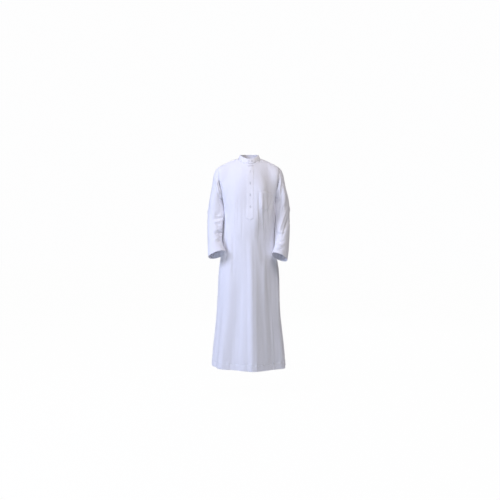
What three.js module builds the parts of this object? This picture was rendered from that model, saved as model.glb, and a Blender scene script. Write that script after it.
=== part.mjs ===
// A jalabiya: a long white robe with a stand collar, a buttoned half placket, a breast pocket and
// long straight sleeves, filled out as it is when worn, with nothing inside.
// Millimetres. +Z is up, -Y is the front and +X is the wearer's left. The origin is at the base of
// the neck, between the shoulders that carry the robe.
import * as THREE from "three";

// Cloth
const clothThick = 1.5; // wall of the body, sleeves and collar
const trimThick = 1.2; // wall of the placket and pocket
const seamGap = 0.4; // between two pieces at a seam
const layGap = 0.7; // under a piece that lies on a panel
const leastStep = 0.15; // a laid piece leaves out steps between grid lines shorter than this

// Body
const underarmZ = -280;
const armholeReach = 58; // how far the armhole reaches to the front and to the back of the side
const ovalPower = 2.3; // 2 is an ellipse, more is squarer
const hemLift = 10; // how much higher the hem hangs on the wearer's right
const bodyColumns = 36; // across one panel
const skirtRows = 15; // hem to underarm
const yokeRows = 11; // underarm to shoulder

// Half width, reach to the front and back, and sideways shift at heights from hem to underarm.
const bodySections = [
  { z: -1352, half: 237, front: 158, back: 162, shift: 0 },
  { z: -1240, half: 229, front: 156, back: 156, shift: 0 },
  { z: -1120, half: 217, front: 153, back: 149, shift: 0 },
  { z: -1000, half: 206, front: 150, back: 142, shift: 0 },
  { z: -870, half: 200, front: 148, back: 137, shift: 1 },
  { z: -740, half: 195, front: 147, back: 134, shift: 2 },
  { z: -660, half: 184, front: 146, back: 130, shift: 1 },
  { z: -600, half: 176, front: 145, back: 126, shift: 0 },
  { z: -540, half: 170, front: 144, back: 122, shift: 0 },
  { z: -480, half: 167, front: 142, back: 118, shift: 2 },
  { z: -400, half: 164, front: 138, back: 115, shift: 7 },
  { z: -340, half: 167, front: 135, back: 116, shift: 7 },
  { z: underarmZ, half: 171, front: 131, back: 117, shift: 3 },
];

// Neck and shoulders
const neckShare = 1 / 3; // share of a panel's width that ends at the neck
const neckCentreX = 5;
const neckHalf = 71;
const neckSideZ = -4;
const neckFront = { reach: 82, z: -50 };
const neckBack = { reach: 57, z: -2 };
const shoulder = { x: 205, y: 4, z: -66, crown: 5 };
const chestTurn = 60; // degrees that the cloth turns up to the neck; 90 at the shoulder

// Collar
const collarTop = { half: 58, front: 70, back: 54, frontZ: -15, sideZ: 21, backZ: 29 };
const collarRows = 3;
const lapColumns = 3; // columns by which the wearer's left end lies over the right
const lapRise = 0.06; // share of the collar's height by which the lap stands off the neck seam

// Placket, pocket and buttons
const placket = { middleX: 11, half: 22, top: -58, shoulderZ: -392, tipZ: -412, columns: 4 };
const pocket = { left: 0.22, right: 0.62, top: -229, corner: -330, point: -346 };
const cornerDrop = 0.1; // share of a row by which a pointed foot's ends lie below the next row
const button = { radius: 5.8, height: 2.4, edge: 0.5, rim: 1.2, dish: 0.5, sides: 16 };
const buttonZ = [-101, -176, -251, -326];
const collarButtonRise = 0.5; // share of the collar's height

// Folds. s runs from -1 to 1 across a panel; out is how far the crest stands off, or sinks if
// below zero; an open fold is at its fullest at its foot.
const foldMargin = 0.12; // width in s over which folds fade beside a side seam
const foldFadeRows = 2; // rows over which they fade below a shoulder seam
const frontFolds = [
  { top: -430, topS: 0.06, foot: -1352, footS: 0.09, half: 0.34, out: 30, open: true },
  { top: -400, topS: 0.07, foot: -1352, footS: 0.09, half: 0.14, out: 13, open: true },
  { top: -520, topS: -0.17, foot: -1352, footS: -0.25, half: 0.2, out: -17, open: true },
  { top: -600, topS: -0.4, foot: -1352, footS: -0.47, half: 0.2, out: 11, open: true },
  { top: -680, topS: -0.68, foot: -1352, footS: -0.72, half: 0.17, out: -12, open: true },
  { top: -250, topS: 0.2, foot: -700, footS: 0.26, half: 0.12, out: -7, open: false },
  { top: -235, topS: 0.31, foot: -760, footS: 0.38, half: 0.12, out: 8, open: false },
  { top: -420, topS: 0.5, foot: -1352, footS: 0.42, half: 0.19, out: -19, open: true },
  { top: -600, topS: 0.68, foot: -1352, footS: 0.69, half: 0.2, out: 15, open: true },
  { top: -700, topS: 0.88, foot: -1352, footS: 0.9, half: 0.12, out: -8, open: true },
  { top: -110, topS: -0.62, foot: -300, footS: -0.78, half: 0.16, out: 7, open: false },
  { top: -110, topS: 0.6, foot: -330, footS: 0.74, half: 0.16, out: 8, open: false },
];
const backFolds = [
  { top: -380, topS: 0.03, foot: -1352, footS: -0.03, half: 0.22, out: -17, open: true },
  { top: -430, topS: -0.24, foot: -1352, footS: -0.31, half: 0.2, out: 19, open: true },
  { top: -360, topS: 0.27, foot: -1352, footS: 0.32, half: 0.2, out: 17, open: true },
  { top: -560, topS: -0.52, foot: -1352, footS: -0.56, half: 0.17, out: -14, open: true },
  { top: -520, topS: 0.55, foot: -1352, footS: 0.6, half: 0.18, out: -13, open: true },
  { top: -700, topS: -0.78, foot: -1352, footS: -0.8, half: 0.17, out: 12, open: true },
  { top: -680, topS: 0.8, foot: -1352, footS: 0.83, half: 0.16, out: 11, open: true },
  { top: -90, topS: -0.45, foot: -420, footS: -0.3, half: 0.16, out: 6, open: false },
  { top: -90, topS: 0.5, foot: -400, footS: 0.36, half: 0.15, out: 6, open: false },
  { top: -290, topS: -0.85, foot: -640, footS: -0.85, half: 0.14, out: 12, open: false },
  { top: -290, topS: 0.85, foot: -640, footS: 0.85, half: 0.14, out: 10, open: false },
];

// Sleeves. Each row is one section: its inner and outer point seen from the front, its middle and
// half depth from front to back, and how far its front edge tips up, in degrees. x is outwards.
const sleeveRings = 18;
const sleeveSections = {
  sleeve_right: [
    { innerX: 168, innerZ: -280, outerX: 205, outerZ: -66, y: 2, depth: 58, tip: 0 },
    { innerX: 175, innerZ: -283, outerX: 222, outerZ: -102, y: 3, depth: 60, tip: 0 },
    { innerX: 177, innerZ: -289, outerX: 232, outerZ: -150, y: 4, depth: 62, tip: 0 },
    { innerX: 175, innerZ: -298, outerX: 239, outerZ: -205, y: 4, depth: 63, tip: 2 },
    { innerX: 171, innerZ: -314, outerX: 249, outerZ: -262, y: 3, depth: 63, tip: 4 },
    { innerX: 168, innerZ: -340, outerX: 258, outerZ: -318, y: 0, depth: 62, tip: 6 },
    { innerX: 164, innerZ: -385, outerX: 264, outerZ: -378, y: -8, depth: 61, tip: 10 },
    { innerX: 164, innerZ: -430, outerX: 265, outerZ: -432, y: -22, depth: 59, tip: 14 },
    { innerX: 167, innerZ: -480, outerX: 263, outerZ: -486, y: -42, depth: 56, tip: 18 },
    { innerX: 169, innerZ: -530, outerX: 260, outerZ: -540, y: -68, depth: 53, tip: 21 },
    { innerX: 160, innerZ: -572, outerX: 257, outerZ: -592, y: -95, depth: 50, tip: 24 },
    { innerX: 142, innerZ: -612, outerX: 251, outerZ: -643, y: -122, depth: 49, tip: 25 },
  ],
  sleeve_left: [
    { innerX: 174, innerZ: -280, outerX: 205, outerZ: -66, y: 2, depth: 58, tip: 0 },
    { innerX: 181, innerZ: -283, outerX: 223, outerZ: -102, y: 3, depth: 60, tip: 0 },
    { innerX: 184, innerZ: -289, outerX: 233, outerZ: -150, y: 4, depth: 62, tip: 0 },
    { innerX: 183, innerZ: -299, outerX: 243, outerZ: -205, y: 4, depth: 63, tip: 2 },
    { innerX: 181, innerZ: -316, outerX: 256, outerZ: -262, y: 3, depth: 62, tip: 4 },
    { innerX: 178, innerZ: -345, outerX: 263, outerZ: -318, y: 0, depth: 61, tip: 6 },
    { innerX: 175, innerZ: -390, outerX: 266, outerZ: -378, y: -8, depth: 60, tip: 10 },
    { innerX: 172, innerZ: -435, outerX: 267, outerZ: -432, y: -22, depth: 58, tip: 14 },
    { innerX: 170, innerZ: -485, outerX: 264, outerZ: -490, y: -44, depth: 56, tip: 18 },
    { innerX: 172, innerZ: -532, outerX: 259, outerZ: -550, y: -70, depth: 53, tip: 21 },
    { innerX: 163, innerZ: -580, outerX: 253, outerZ: -608, y: -99, depth: 50, tip: 24 },
    { innerX: 147, innerZ: -622, outerX: 244, outerZ: -662, y: -128, depth: 48, tip: 25 },
  ],
};
// Around a sleeve, turn is 0 at the outside, 90 at the front, 180 at the body and 270 behind.
// along is 0 at the armhole and 1 at the cuff.
const sleeveFolds = {
  sleeve_right: [
    { top: 0.14, topTurn: 70, foot: 0.5, footTurn: 120, half: 32, out: 5 },
    { top: 0.46, topTurn: 150, foot: 0.66, footTurn: 60, half: 26, out: -6 },
    { top: 0.6, topTurn: 170, foot: 0.78, footTurn: 70, half: 24, out: 6 },
    { top: 0.7, topTurn: 150, foot: 0.86, footTurn: 130, half: 30, out: -8 },
    { top: 0.3, topTurn: 250, foot: 0.62, footTurn: 310, half: 34, out: -6 },
    { top: 0.5, topTurn: 220, foot: 0.8, footTurn: 290, half: 30, out: 5 },
  ],
  sleeve_left: [
    { top: 0.12, topTurn: 40, foot: 0.78, footTurn: 140, half: 30, out: 8 },
    { top: 0.16, topTurn: 80, foot: 0.6, footTurn: 165, half: 26, out: -7 },
    { top: 0.5, topTurn: 10, foot: 0.8, footTurn: 100, half: 24, out: -6 },
    { top: 0.7, topTurn: 150, foot: 0.88, footTurn: 120, half: 28, out: -7 },
    { top: 0.28, topTurn: 300, foot: 0.6, footTurn: 240, half: 34, out: -6 },
    { top: 0.52, topTurn: 300, foot: 0.82, footTurn: 230, half: 30, out: 5 },
  ],
};

const radians = THREE.MathUtils.degToRad;
const mix = THREE.MathUtils.lerp;
const ease = THREE.MathUtils.smoothstep;

// A smooth curve through one column of a table, read at a value of its key column.
function readTable(rows, key, column, value) {
  const up = rows[rows.length - 1][key] > rows[0][key] ? 1 : -1;
  let i = 0;
  while (i < rows.length - 2 && up * (value - rows[i + 1][key]) > 0) i++;
  const slope = (a, b) => (rows[b][column] - rows[a][column]) / (rows[b][key] - rows[a][key]);
  const span = rows[i + 1][key] - rows[i][key];
  const t = THREE.MathUtils.clamp((value - rows[i][key]) / span, 0, 1);
  const startSlope = slope(Math.max(i - 1, 0), i + 1) * span;
  const endSlope = slope(i, Math.min(i + 2, rows.length - 1)) * span;
  const [start, end] = [rows[i][column], rows[i + 1][column]];
  return (
    start * (1 + 2 * t) * (1 - t) ** 2 +
    startSlope * t * (1 - t) ** 2 +
    end * t * t * (3 - 2 * t) -
    endSlope * t * t * (1 - t)
  );
}

const signedPower = (value, power) => Math.sign(value) * Math.abs(value) ** power;

// A point of the skirt and lower chest. face is -1 on the front and 1 on the back.
function lowerPoint(face, s, z) {
  const read = (column) => readTable(bodySections, "z", column, z);
  const turn = (s * Math.PI) / 2;
  return new THREE.Vector3(
    read("shift") + read("half") * signedPower(Math.sin(turn), 2 / ovalPower),
    face * read(face < 0 ? "front" : "back") * Math.abs(Math.cos(turn)) ** (2 / ovalPower),
    z,
  );
}

// The panel's top edge: the neck in the middle and a shoulder seam on each side of it.
function topPoint(face, s) {
  const side = Math.sign(s);
  if (Math.abs(s) >= neckShare) {
    const share = (Math.abs(s) - neckShare) / (1 - neckShare);
    const crown = shoulder.crown * Math.sin(Math.PI * share);
    const x = mix(neckHalf, shoulder.x, share) * side + neckCentreX * (1 - share);
    return new THREE.Vector3(x, shoulder.y * share, mix(neckSideZ, shoulder.z, share) + crown);
  }
  const turn = ((s / neckShare) * Math.PI) / 2;
  const neck = face < 0 ? neckFront : neckBack;
  return new THREE.Vector3(
    neckCentreX + neckHalf * Math.sin(turn),
    face * neck.reach * Math.cos(turn),
    mix(neckSideZ, neck.z, Math.cos(turn) ** 1.5),
  );
}

// A point between the underarm's height and the top edge, where share runs from 0 to 1.
function upperPoint(face, s, share) {
  const foot = lowerPoint(face, s, underarmZ);
  const top = topPoint(face, s);
  const fullTurn = radians(mix(chestTurn, 90, ease(Math.abs(s), 0.1, neckShare + 0.1)));
  const turn = share * fullTurn;
  const edge = ease(Math.abs(s), 0.55, 1); // 1 at the armhole
  const rise = (Math.sin(turn) / Math.sin(fullTurn)) ** (1 + edge / 2);
  const lean = (1 - Math.cos(turn)) / (1 - Math.cos(fullTurn));
  return new THREE.Vector3(
    mix(foot.x, top.x, rise),
    mix(foot.y, top.y, lean) + face * armholeReach * edge * Math.sin(2 * turn),
    mix(foot.z, top.z, rise),
  );
}

function foldHeight(folds, s, z) {
  let height = 0;
  for (const fold of folds) {
    const along = (fold.top - z) / (fold.top - fold.foot);
    const across = (s - mix(fold.topS, fold.footS, along)) / fold.half;
    if (along <= 0 || Math.abs(across) >= 1 || (along >= 1 && !fold.open)) continue;
    const swell = fold.open ? ease(along, 0, 0.85) : Math.sin(Math.PI * along) ** 2;
    height += fold.out * swell * (1 - across * across) ** 2;
  }
  return height;
}

// A panel is a grid of points, rows by columns, with the outward normal at each. A closed one is a
// tube. side is 1 where the columns run to the right as seen from outside, and -1 to the left.
function makePanel(rows, columns, pointAt, { closed = false, side = 1 } = {}) {
  const points = [];
  for (let i = 0; i <= rows; i++) {
    points.push([]);
    for (let j = 0; j < (closed ? columns : columns + 1); j++) points[i].push(pointAt(i, j));
  }
  const panel = { points, closed, side };
  panel.normals = gridNormals(panel);
  return panel;
}

function gridNormals({ points, closed, side }) {
  const width = points[0].length;
  const normals = points.map((row) => row.map(() => new THREE.Vector3()));
  for (let i = 0; i < points.length - 1; i++) {
    for (let j = 0; j < (closed ? width : width - 1); j++) {
      const k = (j + 1) % width;
      const rise = points[i + 1][k].clone().sub(points[i][j]);
      const fall = points[i][k].clone().sub(points[i + 1][j]);
      const normal = fall.cross(rise).multiplyScalar(side);
      for (const [a, b] of [[i, j], [i, k], [i + 1, j], [i + 1, k]]) normals[a][b].add(normal);
    }
  }
  return normals.map((row) => row.map((normal) => normal.normalize()));
}

// Moves each inner point of a panel off along its normal.
function raisePanel(panel, heightAt) {
  panel.points.forEach((row, i) =>
    row.forEach((point, j) => point.addScaledVector(panel.normals[i][j], heightAt(i, j))),
  );
  panel.normals = gridNormals(panel);
  return panel;
}

function bodyPanel(face, folds) {
  const sAt = (j) => (2 * j) / bodyColumns - 1;
  const hemAt = (s) => bodySections[0].z + hemLift * Math.max(0, -s) ** 1.5;
  const panel = makePanel(
    skirtRows + yokeRows,
    bodyColumns,
    (i, j) => {
      const s = sAt(j);
      if (i > skirtRows) return upperPoint(face, s, (i - skirtRows) / yokeRows);
      return lowerPoint(face, s, mix(hemAt(s), underarmZ, i / skirtRows));
    },
    { side: -face },
  );
  return raisePanel(panel, (i, j) => {
    const beside = (1 - Math.abs(sAt(j))) / foldMargin;
    const below = (skirtRows + yokeRows - i) / foldFadeRows;
    const fade = Math.min(1, beside, below);
    return fade > 0 ? foldHeight(folds, sAt(j), panel.points[i][j].z) * fade : 0;
  });
}

// The armhole's edge as a ring of points, from the shoulder over the front and round the back.
function armholeRing(front, back, column) {
  const ring = [];
  for (let i = skirtRows + yokeRows; i > skirtRows; i--) ring.push(front.points[i][column].clone());
  for (let i = skirtRows; i < skirtRows + yokeRows; i++) ring.push(back.points[i][column].clone());
  return ring;
}

function sleevePanel(name, outward, ring) {
  const stations = sleeveSections[name].map((row, index) => ({ index, ...row }));
  const last = stations.length - 1;
  const panel = makePanel(
    sleeveRings,
    ring.length,
    (i, j) => {
      if (i === 0) return ring[j].clone();
      const read = (column) => readTable(stations, "index", column, (last * i) / sleeveRings);
      const turn = (2 * Math.PI * j) / ring.length;
      const tip = radians(read("tip"));
      const out = Math.cos(turn) / 2;
      const ahead = read("depth") * Math.sin(turn);
      return new THREE.Vector3(
        outward * mix(read("innerX"), read("outerX"), 0.5 + out),
        read("y") - ahead * Math.cos(tip),
        mix(read("innerZ"), read("outerZ"), 0.5 + out) + ahead * Math.sin(tip),
      );
    },
    { closed: true, side: outward },
  );
  return raisePanel(panel, (i, j) => sleeveFoldHeight(name, i / sleeveRings, (360 * j) / ring.length));
}

function sleeveFoldHeight(name, along, turn) {
  let height = 0;
  for (const fold of sleeveFolds[name]) {
    const share = (along - fold.top) / (fold.foot - fold.top);
    const across = (turn - mix(fold.topTurn, fold.footTurn, share)) / fold.half;
    if (share <= 0 || share >= 1 || Math.abs(across) >= 1) continue;
    height += fold.out * Math.sin(Math.PI * share) ** 2 * (1 - across * across) ** 2;
  }
  return height;
}

// The collar runs from its hidden end under the lap, round the back, and over itself at the front.
function collarPanel(front, back) {
  const top = skirtRows + yokeRows;
  const neckFirst = Math.round((bodyColumns * (1 - neckShare)) / 2);
  const neckLast = bodyColumns - neckFirst;
  const lapEnd = bodyColumns / 2 - 1;
  const route = [];
  for (let j = lapEnd + lapColumns; j >= neckFirst; j--) route.push({ panel: front, face: -1, j });
  for (let j = neckFirst + 1; j < neckLast; j++) route.push({ panel: back, face: 1, j });
  for (let j = neckLast; j >= lapEnd; j--) route.push({ panel: front, face: -1, j });
  const lapFrom = route.length - 1 - lapColumns;
  return makePanel(
    collarRows,
    route.length - 1,
    (i, k) => {
      const { panel, face, j } = route[k];
      const foot = panel.points[top][j];
      const turn = (((2 * j) / bodyColumns - 1) / neckShare) * (Math.PI / 2);
      const reach = face < 0 ? collarTop.front : collarTop.back;
      const endZ = face < 0 ? collarTop.frontZ : collarTop.backZ;
      const lip = new THREE.Vector3(
        neckCentreX + collarTop.half * Math.sin(turn),
        face * reach * Math.cos(turn),
        mix(collarTop.sideZ, endZ, Math.max(Math.cos(turn), 0) ** 1.5),
      );
      const lap = ease(k, lapFrom - 1, lapFrom);
      const point = foot.clone().lerp(lip, i === 0 ? lap * lapRise : i / collarRows);
      const outwards = new THREE.Vector3(Math.sin(turn), face * Math.cos(turn), 0);
      return point.addScaledVector(outwards, lap * (clothThick + seamGap));
    },
    { side: -1 },
  );
}

const pointKey = (point) => point.toArray().map((v) => Math.round(v * 100)).join();

// The points along one edge of a panel, and those along the line of points next to it.
function edgeOf(panel, name) {
  const rows = panel.points.length - 1;
  const columns = panel.points[0].length - 1;
  const along = name === "left" || name === "right" ? rows : columns;
  return Array.from({ length: along + 1 }, (_, k) => {
    if (name === "left") return { at: [k, 0], inside: [k, 1] };
    if (name === "right") return { at: [k, columns], inside: [k, columns - 1] };
    if (name === "top") return { at: [rows, k], inside: [rows - 1, k] };
    return { at: [0, k], inside: [1, k] };
  });
}

// Pieces that meet at a seam share its normals, so their edge faces are parallel, and each draws
// back by half the gap. The front and back count as one surface, the body.
function openSeams(pieces) {
  const sums = new Map();
  const moves = [];
  const eachEdge = (action) =>
    pieces.forEach((piece) =>
      piece.edges.forEach((name) => action(piece.panel, edgeOf(piece.panel, name), piece.surface)),
    );
  eachEdge((panel, edge, surface) =>
    edge.forEach(({ at: [i, j] }) => {
      const key = pointKey(panel.points[i][j]);
      if (!sums.has(key)) sums.set(key, {});
      (sums.get(key)[surface] ??= new THREE.Vector3()).add(panel.normals[i][j]);
    }),
  );
  const sharedNormal = (point) =>
    Object.values(sums.get(pointKey(point)))
      .reduce((sum, normal) => sum.add(normal.clone().normalize()), new THREE.Vector3())
      .normalize();
  eachEdge((panel, edge) => {
    const pointAt = ([i, j]) => panel.points[i][j];
    const count = edge.length;
    edge.forEach(({ at, inside }, k) => {
      const normal = sharedNormal(pointAt(at));
      const inwards = pointAt(inside).clone().sub(pointAt(at));
      const steps = [-1, 1].filter((step) => panel.closed || edge[k + step]);
      const pulls = steps.map((step) => {
        const next = edge[(k + step + count) % count].at;
        const pull = pointAt(next).clone().sub(pointAt(at)).cross(normal).normalize();
        return pull.multiplyScalar(Math.sign(pull.dot(inwards)));
      });
      const by = pulls.reduce((sum, pull) => sum.add(pull), new THREE.Vector3());
      by.multiplyScalar(seamGap / by.lengthSq());
      if (pulls.length === 1) by.multiplyScalar(0.5);
      moves.push({ panel, at, by, normal });
    });
  });
  for (const { panel, at: [i, j], by, normal } of moves) {
    panel.points[i][j].add(by);
    panel.normals[i][j] = normal;
  }
}

// A closed wall around a panel: its outer and inner skin and the strips along its edges.
function wallGeometry({ points, normals, closed, side }, thick) {
  const rows = points.length;
  const columns = points[0].length;
  const positions = [];
  for (const offset of [thick / 2, -thick / 2])
    for (let i = 0; i < rows; i++)
      for (let j = 0; j < columns; j++)
        positions.push(...points[i][j].clone().addScaledVector(normals[i][j], offset).toArray());
  const outer = (i, j) => i * columns + (j % columns);
  const inner = (i, j) => rows * columns + outer(i, j);
  const faces = [];
  const quad = (a, b, c, d) => faces.push(...(side > 0 ? [a, b, c, a, c, d] : [a, c, b, a, d, c]));
  const across = closed ? columns : columns - 1;
  for (let i = 0; i < rows - 1; i++)
    for (let j = 0; j < across; j++) {
      quad(outer(i, j), outer(i, j + 1), outer(i + 1, j + 1), outer(i + 1, j));
      quad(inner(i, j), inner(i + 1, j), inner(i + 1, j + 1), inner(i, j + 1));
    }
  for (let j = 0; j < across; j++) {
    quad(outer(0, j + 1), outer(0, j), inner(0, j), inner(0, j + 1));
    quad(outer(rows - 1, j), outer(rows - 1, j + 1), inner(rows - 1, j + 1), inner(rows - 1, j));
  }
  if (!closed)
    for (let i = 0; i < rows - 1; i++) {
      quad(outer(i, 0), outer(i + 1, 0), inner(i + 1, 0), inner(i, 0));
      quad(outer(i + 1, across), outer(i, across), inner(i, across), inner(i + 1, across));
    }
  const geometry = new THREE.BufferGeometry();
  geometry.setAttribute("position", new THREE.Float32BufferAttribute(positions, 3));
  geometry.setIndex(faces);
  geometry.computeVertexNormals();
  return geometry;
}

// A place on a panel between its grid points, lifted off along the normal.
function placeOn(panel, row, column, lift) {
  const i = Math.min(Math.floor(row), panel.points.length - 2);
  const j = Math.min(Math.floor(column), panel.points[0].length - 2);
  const [u, v] = [row - i, column - j];
  const blend = (grid) =>
    grid[i][j].clone().lerp(grid[i][j + 1], v).lerp(grid[i + 1][j].clone().lerp(grid[i + 1][j + 1], v), u);
  const normal = blend(panel.normals).normalize();
  return { point: blend(panel.points).addScaledVector(normal, lift), normal };
}

// The row, counted in fractions, at which a column of the panel crosses a height.
function rowAtHeight(panel, column, z) {
  let i = 0;
  const heightAt = (row) => placeOn(panel, row, column, 0).point.z;
  while (i < panel.points.length - 2 && heightAt(i + 1) < z) i++;
  return i + (z - heightAt(i)) / (heightAt(i + 1) - heightAt(i));
}

// The column, counted in fractions, at which a row of the panel crosses a sideways place.
function columnAtX(panel, row, x) {
  let j = 0;
  const xAt = (column) => placeOn(panel, row, column, 0).point.x;
  while (j < panel.points[0].length - 2 && xAt(j + 1) < x) j++;
  return j + (x - xAt(j)) / (xAt(j + 1) - xAt(j));
}

// From one value to another through every whole number between them.
function wholeSteps(from, to) {
  const steps = [from];
  for (let k = Math.ceil(from + leastStep); k < to - leastStep; k++) steps.push(k);
  steps.push(to);
  return steps;
}

const trimLift = clothThick / 2 + layGap + trimThick / 2;

// A panel made from places on another one, with that one's normals.
function layPanel(rows, columns, placeAt) {
  const normals = [];
  const panel = makePanel(rows, columns, (i, j) => {
    const { point, normal } = placeAt(i, j);
    (normals[i] ??= []).push(normal);
    return point;
  });
  return { ...panel, normals };
}

function placketPanel(front) {
  const middle = bodyColumns / 2;
  const tipRow = rowAtHeight(front, middle, placket.tipZ);
  const shoulderRow = rowAtHeight(front, middle, placket.shoulderZ);
  const rows = [tipRow, ...wholeSteps(shoulderRow, rowAtHeight(front, middle, placket.top))];
  return layPanel(rows.length - 1, placket.columns, (i, j) => {
    const across = (2 * j) / placket.columns - 1;
    const row = i === 0 ? mix(tipRow, shoulderRow - cornerDrop, Math.abs(across)) : rows[i];
    const column = columnAtX(front, row, placket.middleX + across * placket.half);
    return placeOn(front, row, column, trimLift);
  });
}

function pocketPanel(front) {
  const toColumn = (s) => ((s + 1) * bodyColumns) / 2;
  const columns = wholeSteps(toColumn(pocket.left), toColumn(pocket.right));
  const middle = (toColumn(pocket.left) + toColumn(pocket.right)) / 2;
  const halfWidth = middle - columns[0];
  const cornerRow = rowAtHeight(front, middle, pocket.corner);
  const rows = wholeSteps(cornerRow, rowAtHeight(front, middle, pocket.top));
  const pointRow = rowAtHeight(front, middle, pocket.point);
  return layPanel(rows.length, columns.length - 1, (i, j) => {
    const away = Math.abs(columns[j] - middle) / halfWidth;
    const row = i === 0 ? mix(pointRow, cornerRow - cornerDrop, away) : rows[i - 1];
    return placeOn(front, row, columns[j], trimLift);
  });
}

function buttonMesh(name, { point, normal }, material) {
  const { radius, height, edge, rim, dish, sides } = button;
  const profile = [
    [0, 0],
    [radius - edge, 0],
    [radius, edge],
    [radius, height - edge],
    [radius - edge, height],
    [radius - rim, height],
    [radius - rim - dish, height - dish],
    [0, height - dish],
  ].map(([x, y]) => new THREE.Vector2(x, y));
  const mesh = new THREE.Mesh(new THREE.LatheGeometry(profile, sides), material);
  mesh.quaternion.setFromUnitVectors(new THREE.Vector3(0, 1, 0), normal);
  mesh.position.copy(point);
  mesh.name = name;
  return mesh;
}

const robeCloth = new THREE.MeshStandardMaterial({ color: 0xe9ebfa, roughness: 0.72, metalness: 0 });
const trimCloth = new THREE.MeshStandardMaterial({ color: 0xf0f1fd, roughness: 0.68, metalness: 0 });
const buttonShell = new THREE.MeshStandardMaterial({ color: 0xdfe1ec, roughness: 0.3, metalness: 0 });

const robe = new THREE.Group();

function addWall(name, panel, thick, material) {
  const mesh = new THREE.Mesh(wallGeometry(panel, thick), material);
  mesh.name = name;
  robe.add(mesh);
}

const front = bodyPanel(-1, frontFolds);
const back = bodyPanel(1, backFolds);
const collar = collarPanel(front, back);
const sleeveRight = sleevePanel("sleeve_right", -1, armholeRing(front, back, 0));
const sleeveLeft = sleevePanel("sleeve_left", 1, armholeRing(front, back, bodyColumns));
openSeams([
  { panel: front, surface: "body", edges: ["left", "right", "top"] },
  { panel: back, surface: "body", edges: ["left", "right", "top"] },
  { panel: collar, surface: "collar", edges: ["bottom"] },
  { panel: sleeveRight, surface: "sleeve", edges: ["bottom"] },
  { panel: sleeveLeft, surface: "sleeve", edges: ["bottom"] },
]);

addWall("front", front, clothThick, robeCloth);
addWall("back", back, clothThick, robeCloth);
addWall("sleeve_right", sleeveRight, clothThick, robeCloth);
addWall("sleeve_left", sleeveLeft, clothThick, robeCloth);
addWall("collar", collar, clothThick, trimCloth);
const placketGrid = placketPanel(front);
addWall("placket", placketGrid, trimThick, trimCloth);
addWall("pocket", pocketPanel(front), trimThick, trimCloth);

// Buttons stand on the placket, and one on the collar's lap.
const buttonLift = trimThick / 2 + seamGap;
buttonZ.forEach((z, index) => {
  const row = rowAtHeight(placketGrid, placket.columns / 2, z);
  const place = placeOn(placketGrid, row, placket.columns / 2, buttonLift);
  robe.add(buttonMesh(`button_${index + 1}`, place, buttonShell));
});
const lapColumn = collar.points[0].length - 1 - lapColumns / 2;
const lapPlace = placeOn(collar, collarRows * collarButtonRise, lapColumn, clothThick / 2 + seamGap);
robe.add(buttonMesh("button_collar", lapPlace, buttonShell));

export default robe;
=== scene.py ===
import math

import bmesh
import bpy
import numpy as np
from mathutils import Matrix, Vector, noise
from mathutils.bvhtree import BVHTree


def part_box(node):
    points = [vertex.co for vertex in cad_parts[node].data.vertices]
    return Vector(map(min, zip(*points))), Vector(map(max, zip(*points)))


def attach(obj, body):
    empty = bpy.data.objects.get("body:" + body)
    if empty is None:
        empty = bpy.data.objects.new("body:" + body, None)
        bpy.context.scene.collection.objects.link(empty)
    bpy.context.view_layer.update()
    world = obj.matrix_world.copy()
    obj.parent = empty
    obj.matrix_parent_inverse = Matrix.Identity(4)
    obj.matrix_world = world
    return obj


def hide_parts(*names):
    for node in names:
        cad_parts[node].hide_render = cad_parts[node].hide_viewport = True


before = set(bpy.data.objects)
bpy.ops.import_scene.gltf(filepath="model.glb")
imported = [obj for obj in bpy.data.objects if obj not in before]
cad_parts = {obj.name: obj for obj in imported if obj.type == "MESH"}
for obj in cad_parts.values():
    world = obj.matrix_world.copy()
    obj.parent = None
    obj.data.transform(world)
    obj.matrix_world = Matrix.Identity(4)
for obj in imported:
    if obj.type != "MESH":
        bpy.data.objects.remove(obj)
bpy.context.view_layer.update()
bpy.ops.object.select_all(action="DESELECT")
print("frame loaded, with", len(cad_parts), "nodes")

mm = 0.001

# camera, lights and floor
robeMiddle = (0, 0, -0.6)  # inside the robe, where the lights point
stage = {
    "cameraAt": (0.0098, -4.0, -0.598),  # level with the hips, in front
    "seenWidth": 3.25,  # metres across the picture where the robe hangs
    "sensor": 36.0,
    "floorZ": -1.5,
    "floorRadius": 40.0,
    "floorEdges": 96,
    "floorTint": (0.84, 0.83, 0.83, 1),
    "floorPale": (0.88, 0.87, 0.87, 1),
    "floorGrain": 3,
    "floorRough": 0.9,
    "paperShare": 0.985,  # how far the camera sees the floor as lit white paper
    "paperTint": (0.988, 0.988, 0.99, 1),
    "worldTint": (1.0, 0.98, 0.88, 1),
    "worldGlow": 0.19,  # how much the surroundings light the cloth
}
lights = [
    # name, place, size, power, tint
    ("keyLight", (-2.7, -1.55, 1.0), 1.4, 76, (0.66, 0.72, 1.0)),
    ("topFill", (0.45, -1.4, 1.5), 1.0, 22, (1.0, 0.92, 0.95)),
    ("lowFill", (-0.8, -2.2, -0.9), 1.2, 6, (0.64, 0.78, 1.0)),
    ("backFill", (0.9, 3.6, 1.3), 1.6, 70, (0.82, 0.86, 1.0)),
]


def setAll(thing, **values):
    for name, value in values.items():
        setattr(thing, name, value)
    return thing


def addToScene(name, data):
    thing = bpy.data.objects.new(name, data)
    bpy.context.collection.objects.link(thing)
    return thing


def makeCamera():
    data = bpy.data.cameras.new("robeCamera")
    lens = stage["sensor"] * -stage["cameraAt"][1] / stage["seenWidth"]
    camera = addToScene("robeCamera", setAll(data, sensor_width=stage["sensor"], lens=lens))
    setAll(camera, location=stage["cameraAt"], rotation_euler=(math.radians(90), 0, 0))
    bpy.context.scene.camera = camera


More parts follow.
